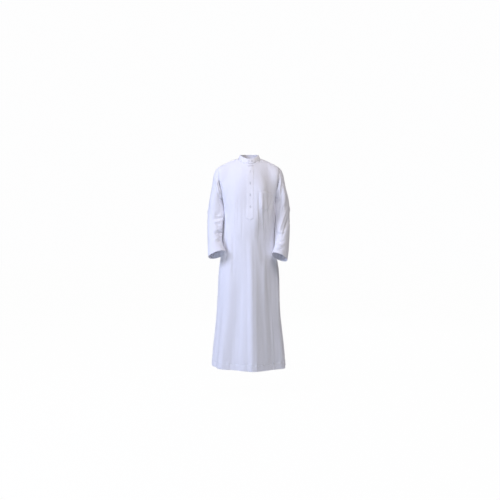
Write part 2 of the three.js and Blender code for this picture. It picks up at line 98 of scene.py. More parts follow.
def makeLights():
    for name, place, size, power, tint in lights:
        data = bpy.data.lights.new(name, "AREA")
        lamp = addToScene(name, setAll(data, shape="DISK", size=size, energy=power, color=tint))
        way = Vector(robeMiddle) - Vector(place)
        setAll(lamp, location=place, rotation_euler=way.to_track_quat("-Z", "Y").to_euler())


def feed(node, inputs):
    # each input takes a value, or the output of another node
    for name, value in inputs.items():
        if isinstance(value, bpy.types.NodeSocket):
            node.id_data.links.new(value, node.inputs[name])
        else:
            node.inputs[name].default_value = value
    return node


def addNode(tree, kind, inputs={}, **settings):
    return feed(setAll(tree.nodes.new("ShaderNode" + kind), **settings), inputs)


def noiseFac(tree, scale, detail=2, distortion=0, over=None):
    # cloudy noise, over the piece's own measure unless another is given
    if over is None:
        over = addNode(tree, "TexCoord").outputs["Object"]
    inputs = {"Vector": over, "Scale": scale, "Detail": detail, "Distortion": distortion}
    return addNode(tree, "TexNoise", inputs).outputs["Fac"]


def mixTints(tree, one, two, share):
    inputs = {"A": one, "B": two, "Factor": share}
    return addNode(tree, "Mix", inputs, data_type="RGBA").outputs["Result"]


def between(tree, limits, share):
    inputs = {"Value": share, "To Min": limits[0], "To Max": limits[1]}
    return addNode(tree, "MapRange", inputs).outputs["Result"]


def newMaterial(name):
    material = bpy.data.materials.new(name)
    material.use_nodes = True
    return material, material.node_tree, material.node_tree.nodes["Principled BSDF"]


def makeWorld():
    # the camera sees white paper, and the cloth gets a softer glow from it
    world = bpy.data.worlds.new("studio")
    world.use_nodes = True
    bpy.context.scene.world = world
    tree = world.node_tree
    tree.nodes.clear()
    inputs = {"Color": stage["worldTint"], "Strength": stage["worldGlow"]}
    glow = addNode(tree, "Background", inputs)
    paper = addNode(tree, "Background", {"Color": stage["paperTint"]})
    seen = addNode(tree, "LightPath").outputs["Is Camera Ray"]
    mix = addNode(tree, "MixShader", {0: seen, 1: glow.outputs[0], 2: paper.outputs[0]})
    addNode(tree, "OutputWorld", {"Surface": mix.outputs[0]})
    bpy.context.scene.view_settings.view_transform = "Standard"


def floorPaper():
    # pale paper, which the camera sees nearly white, as if lit from below
    material, tree, shader = newMaterial("floorPaper")
    grain = noiseFac(tree, stage["floorGrain"])
    tint = mixTints(tree, stage["floorTint"], stage["floorPale"], grain)
    feed(shader, {"Roughness": stage["floorRough"], "Base Color": tint})
    seen = addNode(tree, "LightPath").outputs["Is Camera Ray"]
    share = addNode(tree, "Math", {0: seen, 1: stage["paperShare"]}, operation="MULTIPLY")
    paper = addNode(tree, "Emission")
    inputs = {0: share.outputs[0], 1: shader.outputs[0], 2: paper.outputs[0]}
    mix = addNode(tree, "MixShader", inputs)
    feed(tree.nodes["Material Output"], {"Surface": mix.outputs[0]})
    return material


def makeFloor():
    bpy.ops.mesh.primitive_circle_add(
        vertices=stage["floorEdges"], radius=stage["floorRadius"], fill_type="NGON",
        location=(0, 0, stage["floorZ"]),
    )
    floor = bpy.context.object
    floor.name = "studioFloor"
    bpy.ops.object.transform_apply(location=True, rotation=False, scale=False)
    floor.data.materials.append(floorPaper())
    floor.select_set(False)


makeCamera()
makeLights()
makeWorld()
makeFloor()
print("camera, lights and floor placed")

# finishes
clothLook = {
    "lit": (0.865, 0.87, 0.92, 1),
    "faint": (0.835, 0.84, 0.90, 1),  # where the yarn lies a little thinner
    "roughness": (0.67, 0.81),
    "sheen": 0.22,
    "sheenRough": 0.45,
    "specular": 0.35,
    "threadPitch": 0.55 * mm,
    "threadWander": 0.6,
    "weaveDepth": 0.06 * mm,
    "weaveShare": 0.5,
    "slubs": (260, 9, 1),  # how many to a metre across and along the thread
    "clouds": 7,
    "napDepth": 0.5 * mm,
    "napShare": 0.35,
}
trimLook = {**clothLook, "lit": (0.885, 0.885, 0.925, 1), "faint": (0.86, 0.86, 0.91, 1)}
pearlLook = {
    "deep": (0.70, 0.71, 0.76, 1),
    "pale": (0.86, 0.87, 0.91, 1),
    "gloss": (0.2, 0.36),
    "coat": 0.5,
    "coatRough": 0.12,
    "swirls": 320,
    "swirlTurn": 1.6,
}
threadLook = {"sheen": 0.3, "shade": 0.93, "twists": 900, "roughness": (0.42, 0.58)}


def wovenCloth(name, look):
    # plain weave in the cloth's own measure, with slubs, faint streaks and a soft nap
    material, tree, shader = newMaterial(name)
    cut = addNode(tree, "UVMap", uv_map="cut").outputs["UV"]
    inputs = {
        "Vector": cut, "Scale": math.pi / 10 / look["threadPitch"],
        "Distortion": look["threadWander"], "Detail": 1, "Detail Scale": 0.05,
    }
    yarns = [
        addNode(tree, "TexWave", inputs, wave_type="BANDS", bands_direction=way, wave_profile="SIN")
        for way in "XY"
    ]
    crossed = {turn: yarn.outputs["Fac"] for turn, yarn in enumerate(yarns)}
    weave = addNode(tree, "Math", crossed, operation="MULTIPLY")
    stretch = addNode(tree, "Mapping", {"Vector": cut, "Scale": look["slubs"]})
    slub = noiseFac(tree, 1, 3, over=stretch.outputs["Vector"])
    cloud = noiseFac(tree, look["clouds"], 4)
    half = addNode(tree, "Math", {0: cloud, 1: 0.5}, operation="MULTIPLY")
    inputs = {0: slub, 1: 0.5, 2: half.outputs[0]}
    streak = addNode(tree, "Math", inputs, operation="MULTIPLY_ADD").outputs[0]
    fine = addNode(tree, "Bump", {
        "Strength": look["weaveShare"], "Distance": look["weaveDepth"], "Height": weave.outputs[0],
    })
    soft = addNode(tree, "Bump", {
        "Strength": look["napShare"], "Distance": look["napDepth"], "Height": streak,
        "Normal": fine.outputs["Normal"],
    })
    feed(shader, {
        "Base Color": mixTints(tree, look["faint"], look["lit"], streak),
        "Roughness": between(tree, look["roughness"], cloud),
        "Normal": soft.outputs["Normal"],
        "Sheen Weight": look["sheen"],
        "Sheen Roughness": look["sheenRough"],
        "Specular IOR Level": look["specular"],
    })
    return material


def pearlShell(look):
    material, tree, shader = newMaterial("pearlShell")
    swirl = noiseFac(tree, look["swirls"], 3, look["swirlTurn"])
    feed(shader, {
        "Base Color": mixTints(tree, look["deep"], look["pale"], swirl),
        "Roughness": between(tree, look["gloss"], swirl),
        "Coat Weight": look["coat"],
        "Coat Roughness": look["coatRough"],
    })
    return material


def sewingThread(name, tint, look=threadLook):
    material, tree, shader = newMaterial(name)
    twist = noiseFac(tree, look["twists"])
    shade = tuple(look["shade"] * part for part in tint)
    feed(shader, {
        "Base Color": mixTints(tree, shade + (1,), tint + (1,), twist),
        "Roughness": between(tree, look["roughness"], twist),
        "Sheen Weight": look["sheen"],
    })
    return material


robeCloth = wovenCloth("robeCloth", clothLook)
trimCloth = wovenCloth("trimCloth", trimLook)
buttonShell = pearlShell(pearlLook)
seamThread = sewingThread("seamThread", (0.86, 0.87, 0.93))
# the grey of this thread is painted shade: it darkens the buttonholes, the collar tab, the bar tack
# and the buttons' thread as their shadows would
paintedShadeThread = sewingThread("paintedShadeThread", (0.50, 0.51, 0.58))
print("finishes made")

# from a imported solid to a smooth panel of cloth
rimWide = 1.7 * mm  # only the rims of a wall have edges shorter than this
weld = 0.01 * mm
sparse = 0.4  # of a cell, which even lines keep from an extra one


def outerSkin(bm, inside):
    # without the rims a wall falls into its outer and its inner skin
    left = {face for face in bm.faces if min(edge.calc_length() for edge in face.edges) >= rimWide}
    skins = []
    while left:
        skin, waiting = [], [left.pop()]
        while waiting:
            skin.append(waiting.pop())
            near = {face for edge in skin[-1].edges for face in edge.link_faces} & left
            left -= near
            waiting += near
        skins.append(skin)
    looksOut = lambda skin: sum(
        face.calc_area() * face.normal.dot(face.calc_center_median() - inside) for face in skin
    )
    return set(max(skins, key=looksOut))


def firstRow(nextTo, facesAt):
    # sides start at the two corners that have two triangles; this is the lower side of the pair
    # that lies furthest apart in height
    corners = {vert: len(facesAt(vert)) for vert in nextTo if len(facesAt(vert)) < 3}
    sides = []
    for start in (vert for vert, count in corners.items() if count == 2):
        for step in nextTo[start]:
            side = [start, step]
            while side[-1] not in corners:
                one, two = nextTo[side[-1]]
                side.append(two if one is side[-2] else one)
            sides.append(side)
    height = lambda side: sum(vert.co.z for vert in side) / len(side)
    pairs = [(one, two) for one in sides[:2] for two in sides[2:] if one[-1] is not two[-1]]
    return min(max(pairs, key=lambda pair: abs(height(pair[0]) - height(pair[1]))), key=height)


def facing(face, *ends):
    return next(vert for vert in face.verts if vert not in ends)


def firstRing(nextTo, bm, facesAt):
    # the upper loop of a tube, from its lowest point, the way round that the diagonals lean
    loops, left = [], dict.fromkeys(nextTo)
    while left:
        loop, ahead = [], list(left)
        while ahead:
            loop.append(ahead[0])
            left.pop(loop[-1])
            ahead = [vert for vert in nextTo[loop[-1]] if vert in left]
        loops.append(loop)
    loop = max(loops, key=lambda verts: sum(vert.co.z for vert in verts) / len(verts))
    lowest = loop.index(min(loop, key=lambda vert: vert.co.z))
    loop = loop[lowest:] + loop[:lowest]
    lean = 0
    for a, b in zip(loop, loop[1:]):
        above = facing(facesAt(bm.edges.get((a, b)))[0], a, b)
        lean += (above.co - b.co).length - (above.co - a.co).length
    return loop if lean < 0 else loop[:1] + loop[:0:-1]


def readGrid(nodeName, ring=False, inside=None):
    # rows of points over the outer skin of a node, each row a step further from the first
    bm = bmesh.new()
    bm.from_mesh(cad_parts[nodeName].data)
    bmesh.ops.remove_doubles(bm, verts=bm.verts, dist=weld)
    bm.normal_update()
    low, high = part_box(nodeName)
    skin = outerSkin(bm, Vector(inside) if inside else (Vector(low) + Vector(high)) / 2)
    facesAt = lambda place: [face for face in place.link_faces if face in skin]
    nextTo = {}
    for edge in bm.edges:
        if len(facesAt(edge)) == 1:
            one, two = edge.verts
            nextTo.setdefault(one, []).append(two)
            nextTo.setdefault(two, []).append(one)
    rows = [firstRing(nextTo, bm, facesAt) if ring else firstRow(nextTo, facesAt)]
    used = set()

    def beyond(a, b):
        # the corner across an edge, in a triangle that isn't used yet
        for face in facesAt(bm.edges.get((a, b))):
            if face not in used:
                used.add(face)
                return facing(face, a, b)

    while True:
        row = rows[-1]
        pairs = list(zip(row, row[1:] + row[:1] if ring else row[1:]))
        new = [beyond(*pair) for pair in pairs]
        if None in new:
            break
        across = [beyond(a, above) for (a, _), above in zip(pairs, new)]
        rows.append(across if ring else across[:1] + new)
    points = np.array([[vert.co[:] for vert in row] for row in rows])
    normal = np.array(rows[len(rows) // 2][len(rows[0]) // 2].normal)
    bm.free()
    return points, normal


def cellOf(lines, spots):
    # the line before each spot, and the spot's share of the way to the next line
    index = np.clip(np.searchsorted(lines, spots, side="right") - 1, 0, len(lines) - 2)
    return index, (spots - lines[index]) / (lines[index + 1] - lines[index])


def hermite(points, knots, spots):
    # a smooth curve through each line of points, read at the given spots
    steps = np.diff(knots)[:, None, None]
    secants = np.diff(points, axis=0) / steps
    slopes = np.empty_like(points)
    slopes[1:-1] = (secants[:-1] * steps[1:] + secants[1:] * steps[:-1]) / (steps[1:] + steps[:-1])
    slopes[0], slopes[-1] = secants[0], secants[-1]
    index, t = cellOf(knots, spots)
    width, t = steps[index], t[:, None, None]
    return (
        (1 + 2 * t) * (1 - t) ** 2 * points[index]
        + t * (1 - t) ** 2 * width * slopes[index]
        + t * t * (3 - 2 * t) * points[index + 1]
        + t * t * (t - 1) * width * slopes[index + 1]
    )


def knotsAlong(points):
    steps = np.linalg.norm(np.diff(points, axis=0), axis=2).mean(axis=1)
    return np.concatenate([[0], np.cumsum(steps)])


def layLines(length, cell, extras=()):
    # even lines a cell apart, with extra ones where a seam or hem needs them
    even = np.linspace(0, length, max(2, round(length / cell) + 1))
    extras = np.array([spot for spot in extras if 0 < spot < length])
    if len(extras):
        gaps = np.abs(even[:, None] - extras[None, :]).min(axis=1)
        keep = gaps > sparse * cell
        keep[0] = keep[-1] = True
        even = even[keep]
    return np.unique(np.concatenate([even, extras]))


def gridNormals(points, ring, outward):
    along = np.gradient(points, axis=0)
    if ring:
        across = np.roll(points, -1, axis=1) - np.roll(points, 1, axis=1)
    else:
        across = np.gradient(points, axis=1)
    return unit(np.cross(across, along) * outward)


# a panel of the body, and what lies on it, is counted from the wearer's right
fromLeft = lambda points: points[0, 0, 0] > points[0, -1, 0]


def smoothPanel(nodeName, cell, ring=False, inside=None, rowExtras=(), edgeExtras=(), turn=None):
    # turn tells whether the columns have to be counted the other way round
    points, outward = readGrid(nodeName, ring, inside)
    mirrored = turn is not None and turn(points)
    if mirrored and ring:
        points = np.concatenate([points[:, :1], points[:, :0:-1]], axis=1)
    elif mirrored:
        points = points[:, ::-1]
    down = knotsAlong(points)
    rows = layLines(down[-1], cell, [s if s >= 0 else down[-1] + s for s in rowExtras])
    points = hermite(points, down, rows)
    if ring:
        points = np.concatenate([points[:, -3:], points, points[:, :4]], axis=1)
    knots = knotsAlong(points.transpose(1, 0, 2))
    if ring:
        knots, width = knots - knots[3], knots[-4] - knots[3]
        columns = layLines(width, cell)[:-1]
    else:
        width = knots[-1]
        columns = layLines(width, cell, [*edgeExtras, *(width - spot for spot in edgeExtras)])
    points = hermite(points.transpose(1, 0, 2), knots, columns).transpose(1, 0, 2)
    normals = gridNormals(points, ring, 1)
    column = len(columns) // 2
    middle = normals[len(rows) // 2, -column if mirrored and ring else column]
    sign = 1 if middle @ outward > 0 else -1
    panel = {"points": points, "normals": normals * sign, "ring": ring, "outward": sign}
    panel.update(rows=rows, columns=columns, width=width, length=rows[-1])
    panel["cut"] = cutOf(panel)
    return panel


def cutOf(panel):
    # the cloth's flat size: its widest row, its longest column and its area
    points = panel["points"]
    if panel["ring"]:
        points = np.concatenate([points, points[:, :1]], axis=1)
    across = np.linalg.norm(np.diff(points, axis=1), axis=2)
    down = np.linalg.norm(np.diff(points, axis=0), axis=2)
    one, two = points[1:, 1:] - points[:-1, :-1], points[1:, :-1] - points[:-1, 1:]
    cells = np.linalg.norm(np.cross(one, two), axis=2)
    return across.sum(axis=1).max(), down.sum(axis=0).max(), cells.sum() / 2


def gridQuads(high, wide, ring=False):
    # the row and column of each cell, and the numbers of its four corners
    i, j = np.meshgrid(np.arange(high - 1), np.arange(wide if ring else wide - 1), indexing="ij")
    k = (j + 1) % wide
    quads = [i * wide + j, i * wide + k, (i + 1) * wide + k, (i + 1) * wide + j]
    return i, j, np.stack(quads, axis=-1)


def newPiece(name, points, faces, material):
    mesh = bpy.data.meshes.new(name)
    mesh.from_pydata(points.reshape(-1, 3).tolist(), [], faces)
    mesh.polygons.foreach_set("use_smooth", [True] * len(faces))
    mesh.materials.append(material)
    return addToScene(name, mesh)


def panelMesh(name, panel, material, thick):
    points, rows, columns = panel["points"], panel["rows"], panel["columns"]
    i, j, quads = gridQuads(*points.shape[:2], panel["ring"])
    v = np.append(columns, panel["width"]) if panel["ring"] else columns
    corners = ((0, 0), (0, 1), (1, 1), (1, 0))
    uv = np.stack([np.stack([v[j + b], rows[i + a]], axis=-1) for a, b in corners], axis=2)
    quads, uv = quads.reshape(-1, 4), uv.reshape(-1, 4, 2)
    if panel["outward"] < 0:
        quads, uv = quads[:, ::-1], uv[:, ::-1]
    piece = newPiece(name, points, quads.tolist(), material)
    piece.data.uv_layers.new(name="cut").data.foreach_set("uv", uv.reshape(-1))
    setAll(piece.modifiers.new("wall", "SOLIDIFY"), thickness=thick, offset=-1)
    applyAll(piece)
    print(name, "made,", len(piece.data.polygons), "faces")
    return piece


def applyAll(piece):
    bpy.ops.object.select_all(action="DESELECT")
    bpy.context.view_layer.objects.active = piece
    piece.select_set(True)
    for modifier in list(piece.modifiers):
        bpy.ops.object.modifier_apply(modifier=modifier.name)
    piece.select_set(False)


# folds and creases, pressed in; their sizes are in mm
lookAlong = {"front": (0, -1), "back": (0, 1), "right": (-1, 0), "left": (1, 0)}
foldEnds = (0.35, 0.35)  # the shares of a fold over which it rises and dies out
foldFacing = (0.1, 0.5)  # a fold fades where the cloth turns away from the side it is seen from


def unit(vectors):
    return vectors / np.maximum(np.linalg.norm(vectors, axis=-1, keepdims=True), 1e-9)


def ease(value, low, high):
    share = np.clip((value - low) / (high - low), 0, 1)
    return share * share * (3 - 2 * share)


def foldPath(path):
    # a smooth line through a fold's corners, which are given as across and up in turn
    points = np.array(path, dtype=float).reshape(-1, 1, 2) * mm
    knots = knotsAlong(points)
    return hermite(points, knots, np.linspace(0, knots[-1], 2 * len(path)))[:, 0]


def alongPath(path, spots):
    # each spot's signed distance from the path, and its share of the way along it
    steps = np.diff(path, axis=0)[:, None]
    away = spots - path[:-1, None]
    t = np.clip((away * steps).sum(axis=2) / (steps * steps).sum(axis=2), 0, 1)
    away = away - t[..., None] * steps
    side = np.sign(steps[..., 0] * away[..., 1] - steps[..., 1] * away[..., 0])
    distance = np.linalg.norm(away, axis=2)
    nearest = distance.argmin(axis=0), np.arange(len(spots))
    share = (np.arange(len(steps))[:, None] + t) / len(steps)
    return (distance * side)[nearest], share[nearest]


def foldHeights(points, normals, folds):
    # rows of path, width, height and perhaps ends, under the side that the folds are seen from
    heights = np.zeros(points.shape[:2])
    for side in (key for key in folds if key in lookAlong):
        ahead = lookAlong[side]
        facing = ease(normals[..., 0] * ahead[0] + normals[..., 1] * ahead[1], *foldFacing)
        seen = points[..., [0 if ahead[0] == 0 else 1, 2]]
        for corners, width, height, *ends in folds[side]:
            path = foldPath(corners)
            widths = np.broadcast_to(width, 2) * mm
            reach = widths.max()
            inReach = (seen > path.min(axis=0) - reach) & (seen < path.max(axis=0) + reach)
            near = (facing > 0) & inReach.all(axis=-1)
            offset, share = alongPath(path, seen[near])
            profile = np.clip(1 - (offset / np.where(offset < 0, *widths)) ** 2, 0, 1) ** 2
            start, end = ends[0] if ends else foldEnds
            swell = ease(share, 0, start) if start else 1
            swell = swell * (1 - ease(share, 1 - end, 1)) if end else swell
            heights[near] += height * mm * profile * swell * facing[near]
    return heights


def ripple(points, sizes, seed):
    # soft wandering unevenness, from -1 to 1; sizes are in mm
    scale = 1 / (np.array(sizes) * mm)
    flat = (points.reshape(-1, 3) * scale + seed).tolist()
    return np.array([noise.noise(spot) for spot in flat]).reshape(points.shape[:2])


def edgeDistance(panel, edges):
    # how far each point lies from the nearest of the named edges
    rows, columns = np.meshgrid(panel["rows"], panel["columns"], indexing="ij")
    far = {"first": rows, "last": panel["length"] - rows}
    far.update(left=columns, right=panel["width"] - columns)
    return np.minimum.reduce([far[edge] for edge in edges])


def foldHem(panel, fromEdge, hem, seed):
    # a turned-up hem: the band stands proud under its stitching, which draws the cloth in
    distance = edgeDistance(panel, [fromEdge])
    deep, band, groove = hem["deep"] * mm, hem["band"] * mm, hem["groove"] * mm
    height = band * (1 - ease(distance, deep - 2.5 * mm, deep + 1.5 * mm))
    height -= groove * np.exp(-(((distance - deep) / grooveWide) ** 2))
    pull = ripple(panel["points"], hem["puckers"], seed)
    near = np.exp(-np.abs(distance - deep) / (hem["reach"] * mm))
    edge = np.exp(-distance / (0.5 * hem["reach"] * mm))
    height += hem["pull"] * mm * pull * np.maximum(near, 0.8 * edge)
    return height


def sinkSeams(panel, edges, seam, seed):
    # both pieces dip where they are sewn, with faint puckers along the seam
    distance = edgeDistance(panel, edges)
    height = -seam["dip"] * mm * np.exp(-distance / (seam["soft"] * mm))
    pull = ripple(panel["points"], seam["puckers"], seed)
    return height + seam["pull"] * mm * pull * np.exp(-distance / (seam["reach"] * mm))


def setNormals(panel):
    panel["normals"] = gridNormals(panel["points"], panel["ring"], panel["outward"])


def shapePanel(panel, heights):
    panel["points"] = panel["points"] + panel["normals"] * heights[..., None]
    setNormals(panel)


def pressFolds(panel, cut, edges, seed):
    # folds and a wandering unevenness, which die out towards the sewn edges
    points = panel["points"]
    heights = foldHeights(points, panel["normals"], cut)
    for step, (sizes, height) in enumerate(cut["uneven"]):
        heights += height * mm * ripple(points, sizes, seed + 5 * step)
    return heights * ease(edgeDistance(panel, edges), 0, cut["calm"])


hem = {"deep": 38, "edge": (1.2, 3, 6), "band": 1.0, "groove": 1.6, "puckers": (14, 14, 40),
       "reach": 16, "pull": 4.2}
cuffHem = {"deep": 33, "edge": (1.2, 3), "band": 0.5, "groove": 0.8, "puckers": (15, 15, 28),
           "reach": 12, "pull": 0.9}
seam = {"dip": 0.9, "soft": 1.6, "puckers": (22, 22, 20), "reach": 12, "pull": 0.7}
sideSeam = {"dip": 3.6, "soft": 4.5, "puckers": (22, 22, 20), "reach": 14, "pull": 0.8}
seamLines = [0.9 * mm, 2.2 * mm, 4.4 * mm]
grooveWide, trimGrooveWide = 1.7 * mm, 1.3 * mm  # over which a row of stitches sinks in


def linesOf(hem):
    # rows of points near a hem's edge and on both sides of its stitching
    stitched = [hem["deep"] + away for away in (-4, -1.6, 0, 1.6, 4)]
    return [line * mm for line in (*hem["edge"], *stitched)]


# front
frontCut = {
    "cell": 4.9 * mm,
    "wall": 1.0 * mm,
    "calm": 16 * mm,
    "uneven": [((70, 70, 420), 1.6), ((17, 17, 80), 0.5)],
    "front": [
        # the pleat that falls from the placket, steep on the wearer's left
        ((10, -420, 15, -600, 18, -900, 23, -1352), (30, 22), 6, (0.3, 0)),
        ((60, -560, 64, -760, 66, -1000, 72, -1352), (26, 30), -3, (0.3, 0)),
        # the breast lies flat between the armholes
        ((4, -100, 4, -240, 0, -430), (112, 100), -7),
        # from the wearer's left chest down into the pleat
        ((84, -90, 86, -200, 70, -380, 44, -540), (96, 46), 14),
        # under the pocket
        ((64, -205, 65, -300, 70, -520), (10, 6), -4.6),
        ((76, -215, 82, -300, 92, -500), 8, 4.4),
        ((91, -210, 98, -300, 108, -480), 8, -4.2),
        ((108, -225, 116, -320, 124, -470), 9, 3.4),
        ((124, -250, 131, -350, 136, -520), 12, -2),
        # chest, below the wearer's left shoulder
        ((108, -90, 140, -180, 146, -300), (40, 24), -2.2),
        # faint upright creases on the wearer's right
        ((-62, -200, -66, -330, -64, -480), 7, -1.4),
        ((-84, -250, -90, -380, -88, -520), 7, 1.5),
        ((-36, -290, -38, -420, -44, -600), 8, -1.5),
        ((-108, -180, -112, -290, -122, -380), 7, -1.2),
        # beside the armholes
        ((-180, -150, -168, -230, -158, -310), (7, 14), -5),
        ((-150, -170, -142, -240, -136, -330), 10, 2.4),
        ((-150, -250, -120, -300, -80, -330), 14, -1.5),
        ((160, -240, 150, -320, 140, -420), 12, 3.5),
        ((150, -270, 134, -330, 100, -380), 12, -2),
        # skirt, the wearer's right
        ((-172, -440, -174, -640, -176, -860), 14, 3.5),
        ((-142, -420, -143, -560, -145, -760), 13, -4),
        ((-114, -400, -114, -600, -116, -820), 12, 2.5),
        ((-94, -460, -96, -620, -98, -820), 12, -2.5),
        ((-86, -660, -91, -1000, -99, -1352), (66, 46), 12, (0.5, 0)),
        ((-20, -640, -26, -960, -34, -1352), 24, 2, (0.4, 0)),
        ((-150, -960, -158, -1160, -166, -1352), 18, 2, (0.4, 0)),
        # skirt, the wearer's left, which hangs almost flat behind the pleat
        ((130, -760, 139, -1000, 152, -1352), (48, 48), 20, (0.6, 0)),
        ((88, -270, 96, -460, 104, -740), (34, 44), -13),
        ((97, -640, 100, -800, 103, -980), 12, 1.8),
        ((116, -600, 118, -760, 120, -920), 10, -2),
        ((181, -620, 184, -800, 190, -1100), 10, 3),
        ((160, -1040, 168, -1200, 174, -1352), 12, -1.5, (0.4, 0)),
    ],
    "right": [
        # round the sides
        ((-60, -340, -70, -620, -76, -1000), 20, 4),
        ((-30, -500, -34, -800, -40, -1352), 18, -4, (0.4, 0)),
    ],
    "left": [
        ((-64, -420, -70, -700, -80, -1100), 20, 4),
        ((-34, -460, -38, -820, -46, -1352), 18, -4, (0.4, 0)),
    ],
}
relax = {"rounds": 60, "start": (3, 34), "fade": (240, 420)}  # mm below the shoulder and neck edge


def relaxTop(panel):
    # no crease runs down from the corners of the neck: the rows are evened out below them
    below = edgeDistance(panel, ["last"])
    weight = ease(below, *(mm * spot for spot in relax["start"]))
    weight = (weight * (1 - ease(below, *(mm * spot for spot in relax["fade"]))))[:, 1:-1, None]
    points = panel["points"]
    for _ in range(relax["rounds"]):
        evened = (points[:, :-2] + 2 * points[:, 1:-1] + points[:, 2:]) / 4
        points[:, 1:-1] += weight * (evened - points[:, 1:-1])
    setNormals(panel)


def makeBodyPanel(name, node, cut, seed):
    lines = linesOf(hem) + [-line for line in seamLines]
    panel = smoothPanel(
        node, cut["cell"], inside=robeMiddle, rowExtras=lines, edgeExtras=seamLines, turn=fromLeft
    )
    relaxTop(panel)
    heights = pressFolds(panel, cut, ["left", "right", "last"], seed)
    heights += foldHem(panel, "first", hem, seed + 9)
    heights += sinkSeams(panel, ["last"], seam, seed + 13)
    heights += sinkSeams(panel, ["left", "right"], sideSeam, seed + 17)
    shapePanel(panel, heights)
    return panel, panelMesh(name, panel, robeCloth, cut["wall"])


frontPanel, robeFront = makeBodyPanel("robeFront", "front", frontCut, 3.1)

# back
backCut = {
    "cell": 5.2 * mm,
    "wall": 1.0 * mm,
    "calm": 16 * mm,
    "uneven": [((64, 64, 380), 1.6), ((17, 17, 80), 0.5)],
    "back": [
        ((10, -160, 14, -420, 6, -760, 2, -1352), 22, -5, (0.4, 0)),
        ((-40, -300, -52, -620, -60, -1000), 18, 5),
        ((58, -260, 66, -560, 74, -900), 20, 5),
        ((-96, -420, -104, -760, -112, -1352), (22, 14), -5, (0.4, 0)),
        ((104, -520, 112, -860, 122, -1352), (14, 22), -5, (0.4, 0)),
        ((-146, -560, -152, -820, -160, -1140), 15, 4),
        ((150, -460, 154, -700, 160, -1020), 14, 4),
        # from the shoulder blades to the armholes
        ((-90, -110, -130, -200, -168, -270), 18, 3),
        ((-60, -170, -110, -260, -156, -330), 16, -3),
        ((96, -100, 132, -190, 166, -260), 18, 3),
        ((70, -190, 116, -270, 160, -350), 15, -3),
        # small folds where the cloth rests on the hips
        ((-120, -500, -70, -530, -20, -520), 13, 2.5),
        ((20, -480, 70, -505, 120, -490), 12, 2.5),
    ],
    "right": [
        ((44, -360, 50, -640, 56, -980), 18, -4),
        ((76, -420, 84, -760, 92, -1352), 18, 4, (0.4, 0)),
    ],
    "left": [
        ((46, -340, 52, -620, 58, -1040), 18, -4),
        ((78, -500, 86, -820, 96, -1352), 18, 4, (0.4, 0)),
    ],
}
backPanel, robeBack = makeBodyPanel("robeBack", "back", backCut, 17.4)

# sleeves
sleeveCut = {
    "cell": 4.4 * mm,
    "wall": 1.0 * mm,
    "calm": 14 * mm,
    "uneven": [((46, 46, 90), 1.3), ((20, 20, 22), 0.45)],
}
rightCut = {
    **sleeveCut,
    # the inside of the arm swells until it rests against the body
    "swell": {"left": [((-6, -272, -10, -330, -20, -390, -36, -450), 38, 13, (0.04, 0.7))]},
    "front": [
        # across the inside of the elbow
        ((-166, -368, -196, -382, -236, -376), 7, 3.2),
        ((-164, -386, -192, -398, -226, -394), 7, -4),
        ((-164, -402, -194, -418, -238, -420), 8, 4),
        ((-164, -424, -188, -436, -218, -432), 7, -4),
        ((-166, -452, -196, -470, -236, -482), 8, 4),
        ((-162, -478, -190, -492, -222, -496), 7, -5),
        ((-160, -506, -184, -518, -230, -546), 9, 4.5),
        ((-156, -532, -176, -540, -200, -552), 7, -4.5),
        # the inside of the arm, pressed forward by the body
        ((-178, -262, -169, -330, -164, -420, -158, -520), (34, 16), 9),
        ((-209, -125, -196, -195, -182, -270), (14, 9), 8),
        ((-224, -130, -214, -230, -196, -330), 13, -3.5),
        ((-236, -180, -240, -300, -236, -380), 14, 3),
    ],
    "right": [
        # outside and behind
        ((-40, -300, 0, -360, 44, -390), 14, 3),
        ((-60, -420, -10, -440, 30, -430), 12, -3),
        ((20, -160, 10, -280, -10, -400), 18, 3),
    ],
    "back": [
        ((-180, -360, -210, -390, -246, -380), 12, -3.5),
        ((-184, -410, -214, -430, -250, -424), 12, 4),
        ((-184, -456, -210, -474, -244, -480), 11, -3.5),
        ((-196, -130, -200, -230, -190, -320), 16, 4),
    ],
}
leftCut = {
    **sleeveCut,
    "swell": {
        "right": [((-4, -272, -6, -320, -12, -370, -26, -420), 38, 12.5, (0.04, 0.8))],
    },
    "front": [
        ((211, -110, 205, -180, 192, -260), 9, 4.5),
        ((222, -130, 213, -210, 204, -300), 10, -5.5),
        ((238, -170, 234, -260, 226, -340), 12, 3),
        ((256, -300, 222, -400, 184, -520), (12, 9), 6),
        ((236, -290, 202, -380, 176, -450), 10, -5),
        ((262, -370, 236, -450, 204, -540), 10, -4.5),
        # chevrons above the wrist
        ((164, -530, 196, -550, 234, -534), 7, -4.5),
        ((160, -552, 194, -570, 240, -552), 8, 4),
        ((158, -576, 190, -592, 232, -582), 7, -3.5),
        ((176, -470, 200, -486, 244, -470), 9, 3.5),
        ((178, -270, 174, -340, 172, -430, 172, -520), (10, 16), -4),
    ],
    "left": [
        ((-44, -280, 0, -340, 40, -380), 14, 3),
        ((-60, -400, -10, -430, 30, -424), 12, -3),
        ((16, -150, 8, -270, -12, -380), 18, 3),
    ],
    "back": [
        ((182, -340, 214, -372, 250, -366), 12, 3.5),
        ((184, -388, 214, -412, 252, -410), 12, -3.5),
        ((184, -440, 212, -456, 246, -456), 11, 4),
        ((198, -120, 202, -220, 194, -310), 16, -3.5),
    ],
}


